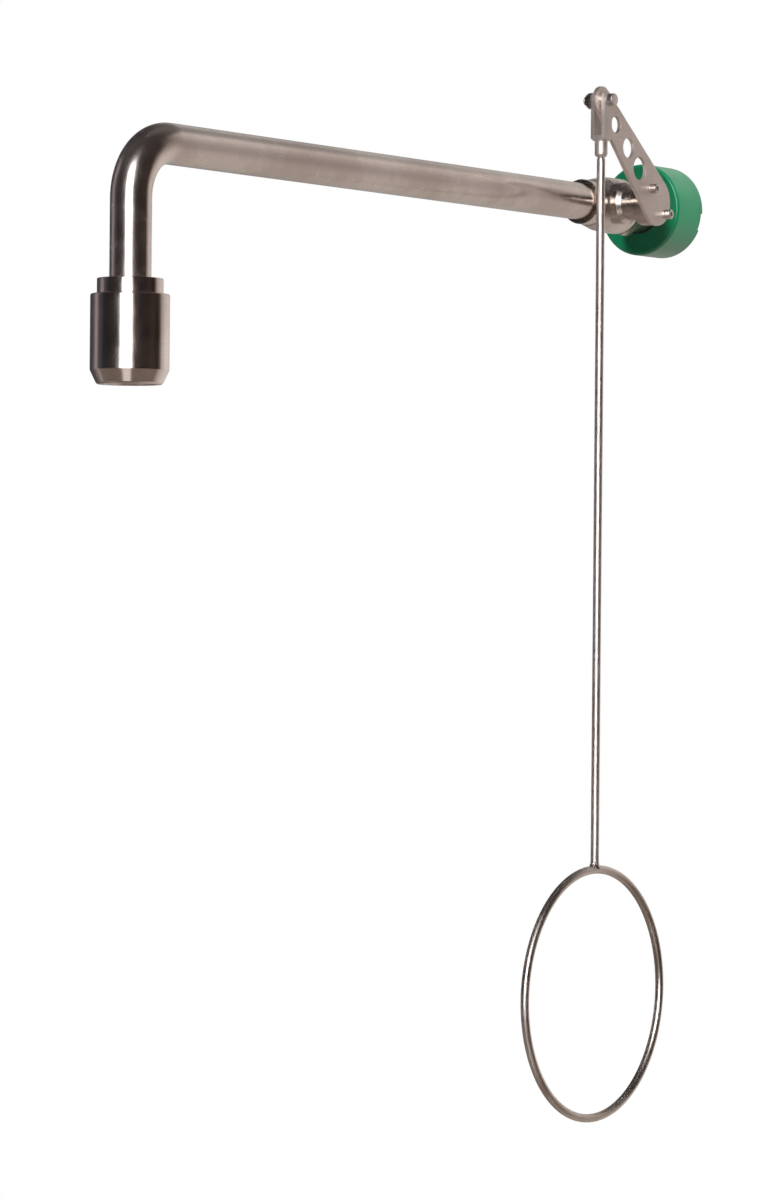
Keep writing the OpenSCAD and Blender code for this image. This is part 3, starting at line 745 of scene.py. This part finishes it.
def clevis():
    shank_r, head_r = 3, pin_high.z - PIN.z
    head_x = LEVER_X + FORK_HALF + 1
    thread_end = LEVER_X - FORK_HALF - 0.5
    profile = [(0, pin_low.x), (shank_r - 0.7, pin_low.x)]
    profile += threaded(shank_r, 0.45, 1.0, pin_low.x + 0.4, thread_end)
    profile += rounded([
        (shank_r, thread_end + 0.3, 0), (shank_r, head_x, 0), (head_r, head_x, 0.2), (head_r, pin_high.x, 0.7),
        (0, pin_high.x, 0),
    ], closed=False, steps=6)
    pin = turned("pin", PIN_AXIS, profile, around=96)
    dress(pin, "clevis_joint", "clevis_pin", "steel_fastener", bolt_steel)

    nut, flat_end, slope = chamfered_hexagon(10, 4.95)
    hole_r = shank_r + 0.02
    locking_nut = turned("nut", PIN_AXIS, [
        (hole_r, nut_low.x + 0.4), (hole_r + 0.35, nut_low.x), (flat_end, nut_low.x),
        (nut, lambda a: nut_low.x + slope(a)), (nut, lambda a: nut_high.x - slope(a)),
        (flat_end, nut_high.x), (hole_r + 0.35, nut_high.x), (hole_r, nut_high.x - 0.4),
    ], closed=True, around=96)
    dress(locking_nut, "clevis_joint", "clevis_nut", "steel_fastener", bolt_steel)

    def flat_ring(name, node, low, high, radius):
        ring = turned(name, PIN_AXIS, rounded([
            (hole_r + 0.03, low, 0.1), (radius, low, 0.15), (radius, high, 0.15), (hole_r + 0.03, high, 0.1),
        ]), closed=True, around=96)
        dress(ring, "clevis_joint", node, "steel_fastener", bolt_steel)

    washer_low, washer_high = node_box("clevis_washer")
    spacer_low, spacer_high = node_box("clevis_spacers")
    spacer_r = spacer_high.z - PIN.z
    flat_ring("washer", "clevis_washer", washer_low.x, washer_high.x, washer_high.z - PIN.z)
    flat_ring("spacer_in", "clevis_spacers", spacer_low.x, LEVER_IN - 0.05, spacer_r)
    flat_ring("spacer_out", "clevis_spacers", LEVER_OUT + 0.05, spacer_high.x, spacer_r)


def clevis_fork():
    top, bottom, neck_end = fork_high.z, PIN.z - 29, fork_low.z
    turn_r, end_edge, neck_r, slot_half, slot_low = 7.6, 1.8, 4.65, 3, PIN.z - 25
    thread_r, thread_top = 2.55, neck_end + 12
    blank = turned("fork", ROD_AXIS, rounded([
        (0, neck_end, 0), (thread_r, neck_end, 0), (neck_r - 1.1, neck_end, 0.2), (neck_r, neck_end + 1.6, 0.6),
        (neck_r, bottom, 0.4), (turn_r - end_edge, bottom, 0.3), (turn_r, bottom + end_edge, 0.6),
        (turn_r, top - end_edge, 0.8), (turn_r - end_edge, top, 0.6), (0, top, 0),
    ], closed=False), around=128)
    y, x, half = PIN.y, LEVER_X, FORK_HALF
    thick = fork_high.y - y
    bar = block("bar", (x - half, y - thick, neck_end - 1), (x + half, y + thick, top + 1))
    combine(blank, bar, "INTERSECT")
    slot = block("slot", (x - slot_half, y - 2 * half, slot_low), (x + slot_half, y + 2 * half, top + 2))
    combine(blank, slot, "DIFFERENCE")
    for place, radius, low, high in ((PIN_AXIS, 3.05, x - 2 * half, x + 2 * half),
                                     (ROD_AXIS, thread_r, neck_end - 1, thread_top)):
        drill = turned("drill", place, [(0, low), (radius, low), (radius, high), (0, high)], around=64)
        combine(blank, drill, "DIFFERENCE")
    soften(blank, 0.45, segments=3)
    dress(blank, "pull_handle", "clevis_fork", "steel_drawn", fork_steel)


def pull_rod():
    foot, shoulder = rod_low.z, fork_low.z - 1.4
    profile = [(0, foot), (ROD_R, foot)]
    profile += rounded([(ROD_R, foot + 1, 0), (ROD_R, shoulder, 0.3), (ROD_R - 0.5, shoulder, 0)], closed=False)
    profile += threaded(ROD_R - 0.45, 0.4, 0.8, shoulder + 0.1, rod_high.z - 0.5)
    profile += [(ROD_R - 0.9, rod_high.z), (0, rod_high.z)]
    rod = turned("rod", ROD_AXIS, profile, around=64)
    dress(rod, "pull_handle", "pull_rod", "steel_drawn", rod_steel)


def pull_ring():
    centre = Vector((LEVER_X, PIN.y, RING_Z))
    path = []
    steps = 240
    for k in range(steps):
        angle = math.tau * k / steps
        spoke = Vector((0, math.sin(angle), math.cos(angle)))
        path.append((centre + spoke * RING_R, Vector((0, math.cos(angle), -math.sin(angle)))))
    ring = tube("ring", path, WIRE_R, closed=True, around=40)
    dress(ring, "pull_handle", "pull_ring", "steel_satin", ring_steel)

    def ripple(radius, height):
        return lambda a: radius + 0.13 * math.sin(9 * a + 2.1 * height) + 0.08 * math.sin(4 * a + height)

    def saddle(radius, rise):
        def station(angle):
            across = min(abs(radius * math.cos(angle)), WIRE_R - 0.1)
            return rod_low.z + math.sqrt(WIRE_R ** 2 - across ** 2) - WIRE_R + rise
        return station

    profile = [(ROD_R - 0.6, saddle(ROD_R - 0.6, -0.3)), (ripple(4.1, 0), saddle(4.1, -0.15))]
    for radius, rise in ((4.2, 0.35), (4.0, 0.8), (3.75, 1.3), (3.5, 1.9), (3.3, 2.5), (3.15, 3.0)):
        profile.append((ripple(radius, rise), saddle(radius, rise)))
    profile += [(ROD_R - 0.2, saddle(ROD_R, 3.3))]
    weld = turned("weld_bead", ROD_AXIS, profile, closed=True, around=96)
    dress(weld, "pull_handle", "ring_weld", "steel_satin", weld_steel)


# ---- Outlet pipe and shower head ----

def outlet_pipe():
    bend_r, wall, steps = 38, 2.6, 40
    path = [(Vector((0, -PIPE_START, 0)), Vector((0, -1, 0)))]
    corner = Vector((0, bend_r - ARM_REACH, -bend_r))
    for k in range(steps + 1):
        angle = math.pi / 2 * k / steps
        out = Vector((0, -math.sin(angle), math.cos(angle)))
        path.append((corner + out * bend_r, Vector((0, -math.cos(angle), -math.sin(angle)))))
    path.append((Vector((0, -ARM_REACH, -PIPE_END)), Vector((0, 0, -1))))
    pipe = tube("arm_pipe", path, PIPE_R, inner=PIPE_R - wall, around=96)
    dress(pipe, "valve_frame", "outlet_pipe", "steel_satin", pipe_steel)


def shower_head():
    collar_r, shell_r = collar_high.x, shell_high.x
    collar_top, shoulder, low = -collar_high.z, -shell_high.z, -shell_low.z
    inner_r, bore_r = 19, PIPE_R - 2.6
    adapter = turned("head_collar", DROP_AXIS, rounded([
        (PIPE_R + 0.05, collar_top, 0.3), (collar_r, collar_top, 0.7), (collar_r, shoulder, 0.2),
        (inner_r, shoulder, 0), (inner_r, -collar_low.z, 0.3), (bore_r, -collar_low.z, 0.3),
        (bore_r, PIPE_END, 0), (PIPE_R + 0.05, PIPE_END, 0),
    ]), closed=True)
    dress(adapter, "valve_frame", "head_adapter", "steel_turned", head_steel)

    taper, foot_r, outlet_r, lip = 9.1, 21.6, 15, 8
    shell = turned("head_cup", DROP_AXIS, rounded([
        (inner_r + 0.05, shoulder, 0.2), (shell_r, shoulder, 1.0), (shell_r, low - taper, 0.7),
        (foot_r, low - 1.1, 0.6), (foot_r - 1.1, low, 0.6), (outlet_r + 1.5, low, 0.3),
        (outlet_r, low - 1.5, 0.3), (outlet_r, low - lip, 0.2), (inner_r + 0.05, low - lip, 0),
    ]), closed=True, around=192)
    dress(shell, "valve_frame", "head_shell", "steel_turned", head_steel)

    nose_r, top, nose_low = 14.6, -insert_high.z, -insert_low.z
    shelf = low - lip
    insert = turned("spray_nozzle", DROP_AXIS, rounded([
        (0, top, 0), (inner_r, top, 0.3), (inner_r, shelf, 0), (nose_r, shelf, 0), (nose_r, nose_low, 0.4),
        (nose_r - 1.6, nose_low, 0.3), (8, shelf, 0.3), (3.6, shelf, 0.3), (2.4, nose_low - 1.2, 0.5),
        (0, nose_low - 0.6, 0),
    ], closed=False), around=128)
    ports, port_r, port_pcr = 8, 1.3, 5.9
    for k in range(ports):
        angle = math.tau * k / ports
        port_frame = DROP_AXIS @ Matrix.Translation((port_pcr * math.cos(angle), port_pcr * math.sin(angle), 0))
        port = turned("port", port_frame, [
            (0, top - 1), (port_r, top - 1), (port_r, nose_low), (0, nose_low),
        ], around=24)
        combine(insert, port, "DIFFERENCE")
    dress(insert, "valve_frame", "spray_insert", "polymer_black", insert_black)


def inner_parts():
    """The sealed inner parts stay as their CAD nodes, with a material each."""
    choices = {
        seat_white: ("body_seal", "inlet_seat", "outlet_seat", "thrust_washer", "stem_bush", "spacer_sleeve"),
        ball_steel: ("ball", "stem"),
        seal_black: ("stem_orings", "head_gasket"),
        insert_black: ("flow_regulator",),
        bolt_steel: ("hub_set_screw",),
        mesh_steel: ("strainer",),
    }
    for made, names in choices.items():
        for name in names:
            piece = frame["nodes"][name]
            piece.data.materials.clear()
            piece.data.materials.append(made)


wall_cover()
inlet_connector()
valve_body()
stem_bonnet()
drive_hub()
lever_plate()
lever_screws()
clevis()
clevis_fork()
pull_rod()
pull_ring()
outlet_pipe()
shower_head()
inner_parts()


# ---- Camera ----

VIEW_YAW = math.radians(35.398)
VIEW_PITCH = math.radians(-0.0169)
VIEW_ROLL = math.radians(0.5158)
CAMERA_PLACE = Vector((1.81091, -2.90601, -0.29134))
LENS_MM = 136.53


def make_camera():
    forward = Vector((-math.sin(VIEW_YAW) * math.cos(VIEW_PITCH), math.cos(VIEW_YAW) * math.cos(VIEW_PITCH),
                      math.sin(VIEW_PITCH)))
    level = Vector((math.cos(VIEW_YAW), math.sin(VIEW_YAW), 0))
    upright = level.cross(forward)
    right = math.cos(VIEW_ROLL) * level + math.sin(VIEW_ROLL) * upright
    up = -math.sin(VIEW_ROLL) * level + math.cos(VIEW_ROLL) * upright
    camera = bpy.data.objects.new("camera", bpy.data.cameras.new("camera"))
    camera.data.lens = LENS_MM
    camera.data.sensor_width = 36
    camera.data.clip_start = 0.1
    camera.data.clip_end = 50
    camera.matrix_world = Matrix.Translation(CAMERA_PLACE) @ Matrix((right, up, -forward)).transposed().to_4x4()
    bpy.context.scene.collection.objects.link(camera)
    bpy.context.scene.camera = camera


make_camera()


# ---- Studio: a world that changes with direction, soft lights and a pale floor ----

# Brightness of the studio round the horizon, by degrees to the right of the camera's side
HORIZON = [
    (-180, (0.35, 0.33, 0.33)), (-170, (0.12, 0.115, 0.12)), (-150, (0.065, 0.06, 0.065)),
    (-130, (0.10, 0.09, 0.10)), (-121, (0.20, 0.17, 0.18)), (-112, (0.50, 0.45, 0.47)),
    (-105, (0.36, 0.32, 0.34)), (-100, (0.11, 0.10, 0.105)), (-88, (0.08, 0.078, 0.088)),
    (-78, (0.03, 0.029, 0.035)), (-60, (0.03, 0.024, 0.024)), (-35, (0.04, 0.034, 0.034)),
    (-26, (0.06, 0.05, 0.05)), (12, (0.06, 0.05, 0.045)), (30, (0.035, 0.028, 0.026)),
    (60, (0.038, 0.027, 0.026)), (72, (0.062, 0.044, 0.04)), (90, (0.03, 0.017, 0.014)),
    (98, (0.06, 0.045, 0.04)), (102, (0.18, 0.15, 0.14)), (106, (0.42, 0.37, 0.35)),
    (110, (0.60, 0.53, 0.50)), (116, (0.66, 0.59, 0.56)), (123, (0.80, 0.73, 0.69)),
    (140, (0.88, 0.82, 0.78)), (162, (0.72, 0.68, 0.64)), (180, (0.40, 0.38, 0.37)),
]
# The key is a bright panel, with a dimmer glow under it; both are given by turn and height
KEY_FROM, KEY_TO = math.radians(-23), math.radians(8)
KEY_LOW, KEY_HIGH = math.radians(-4), math.radians(44)
KEY_LEVEL = 6.5
GLOW_LOW, GLOW_HIGH = math.radians(-62), math.radians(-36)
GLOW_LEVEL = 1.0
# The ceiling and the ground blend in between two heights and keep a share of the horizon's colour
CEILING, CEILING_SHARE = (0.05, 0.044, 0.044), 0.15
CEILING_FROM, CEILING_TO = math.radians(32), math.radians(40)
GROUND, GROUND_SHARE = (0.20, 0.16, 0.13), 0.4
GROUND_FROM, GROUND_TO = math.radians(-8), math.radians(-40)
# What the world gives to diffuse rays in place of all that
FILL = (0.20, 0.20, 0.20)


def make_world():
    world = bpy.data.worlds.new("studio")
    bpy.context.scene.world = world
    world.use_nodes = True
    nodes = Nodes(world.node_tree)
    ray = nodes.add("ShaderNodeTexCoord").outputs["Generated"]
    to_camera = (math.sin(VIEW_YAW), -math.cos(VIEW_YAW), 0)
    to_right = (math.cos(VIEW_YAW), math.sin(VIEW_YAW), 0)

    def dot(direction):
        return nodes.add("ShaderNodeVectorMath", {0: ray, 1: direction}, operation="DOT_PRODUCT").outputs["Value"]

    turn = nodes.math("ARCTAN2", dot(to_right), dot(to_camera))
    height = nodes.math("ARCSINE", dot((0, 0, 1)))
    place = nodes.spread(turn, -math.pi, math.pi, 0, 1, smooth=False)
    stops = [((degrees + 180) / 360, colour) for degrees, colour in HORIZON]
    sides = nodes.ramp(place, stops)

    soft = math.radians(3)

    def window(value, low, high, low_soft=soft, high_soft=soft):
        opened = nodes.spread(value, low - low_soft, low + low_soft, 0, 1)
        return nodes.math("MULTIPLY", opened, nodes.spread(value, high - high_soft, high + high_soft, 1, 0))

    column = window(turn, KEY_FROM, KEY_TO)
    key = nodes.math("MULTIPLY", column, window(height, KEY_LOW, KEY_HIGH, high_soft=4.5 * soft))
    glow = nodes.math("MULTIPLY", column, window(height, GLOW_LOW, GLOW_HIGH, 2 * soft, 2 * soft))
    above = nodes.spread(height, CEILING_FROM, CEILING_TO, 0, 1)
    below = nodes.spread(height, GROUND_FROM, GROUND_TO, 0, 1)
    ceiling = nodes.mix(CEILING_SHARE, CEILING, sides, blend="ADD")
    ground = nodes.mix(GROUND_SHARE, GROUND, sides, blend="ADD")
    colour = nodes.mix(below, nodes.mix(above, sides, ceiling), ground)
    colour = nodes.mix(glow, colour, (GLOW_LEVEL, GLOW_LEVEL * 0.92, GLOW_LEVEL * 0.9))
    lit = nodes.mix(key, colour, (KEY_LEVEL, KEY_LEVEL * 0.98, KEY_LEVEL * 0.98))
    path = nodes.add("ShaderNodeLightPath")
    lit = nodes.mix(path.outputs["Is Diffuse Ray"], lit, FILL)
    lit = nodes.mix(path.outputs["Is Camera Ray"], lit, (1, 1, 1))
    background = nodes.add("ShaderNodeBackground", {"Color": lit, "Strength": 1.0})
    # With light sampling the world would light the plastics by its own colours, past FILL
    world.cycles.sampling_method = "NONE"
    nodes.add("ShaderNodeOutputWorld", {"Surface": background.outputs[0]})


def area_light(name, turn_degrees, height_degrees, distance, size, power, colour):
    """Soft light for the plastic, placed by degrees to the right of the camera's side and above the horizon.

    The steel takes its reflections from the world alone, so the lights don't show in it.
    """
    turn = math.radians(turn_degrees) + VIEW_YAW
    height = math.radians(height_degrees)
    outwards = Vector((math.sin(turn) * math.cos(height), -math.cos(turn) * math.cos(height), math.sin(height)))
    target = (cad_low + cad_high) / 2
    light = bpy.data.lights.new(name, "AREA")
    light.shape = "RECTANGLE"
    light.size, light.size_y = size
    light.energy = power
    light.color = colour
    holder = bpy.data.objects.new(name, light)
    holder.location = target + outwards * distance
    holder.rotation_mode = "QUATERNION"
    holder.rotation_quaternion = (-outwards).to_track_quat("-Z", "Y")
    holder.visible_camera = False
    holder.visible_glossy = False
    bpy.context.scene.collection.objects.link(holder)


def make_floor():
    """A pale floor, well under the object, so that it stays below the picture."""
    radius, thickness, drop = 1900, 20, 650
    level = ring_low.z - drop
    middle = (cad_low + cad_high) / 2 / MM
    place = axis_frame((middle.x, middle.y, level), (1, 0, 0), (0, 0, 1))
    floor = turned("floor", place, rounded([
        (0, 0, 0), (radius, 0, 6), (radius, -thickness, 6), (0, -thickness, 0),
    ], closed=False), around=160)

    def build(nodes):
        speckle = noise(nodes, 160, detail=5, roughness=0.6)
        return {
            "Base Color": nodes.mix(nodes.spread(speckle, 0.3, 0.7, 0, 1), (0.78, 0.78, 0.77), (0.84, 0.84, 0.83)),
            "Roughness": nodes.spread(speckle, 0.3, 0.7, 0.5, 0.7),
        }
    floor.data.materials.append(surface("floor_pale", build))
    floor.visible_glossy = False


make_world()
make_floor()
area_light("front", -56, 50, 2.4, (0.6, 0.6), 80, (1, 0.99, 0.98))
area_light("side", 72, 40, 2.2, (0.9, 0.9), 75, (1, 0.99, 0.98))
bpy.context.scene.view_settings.view_transform = "Standard"
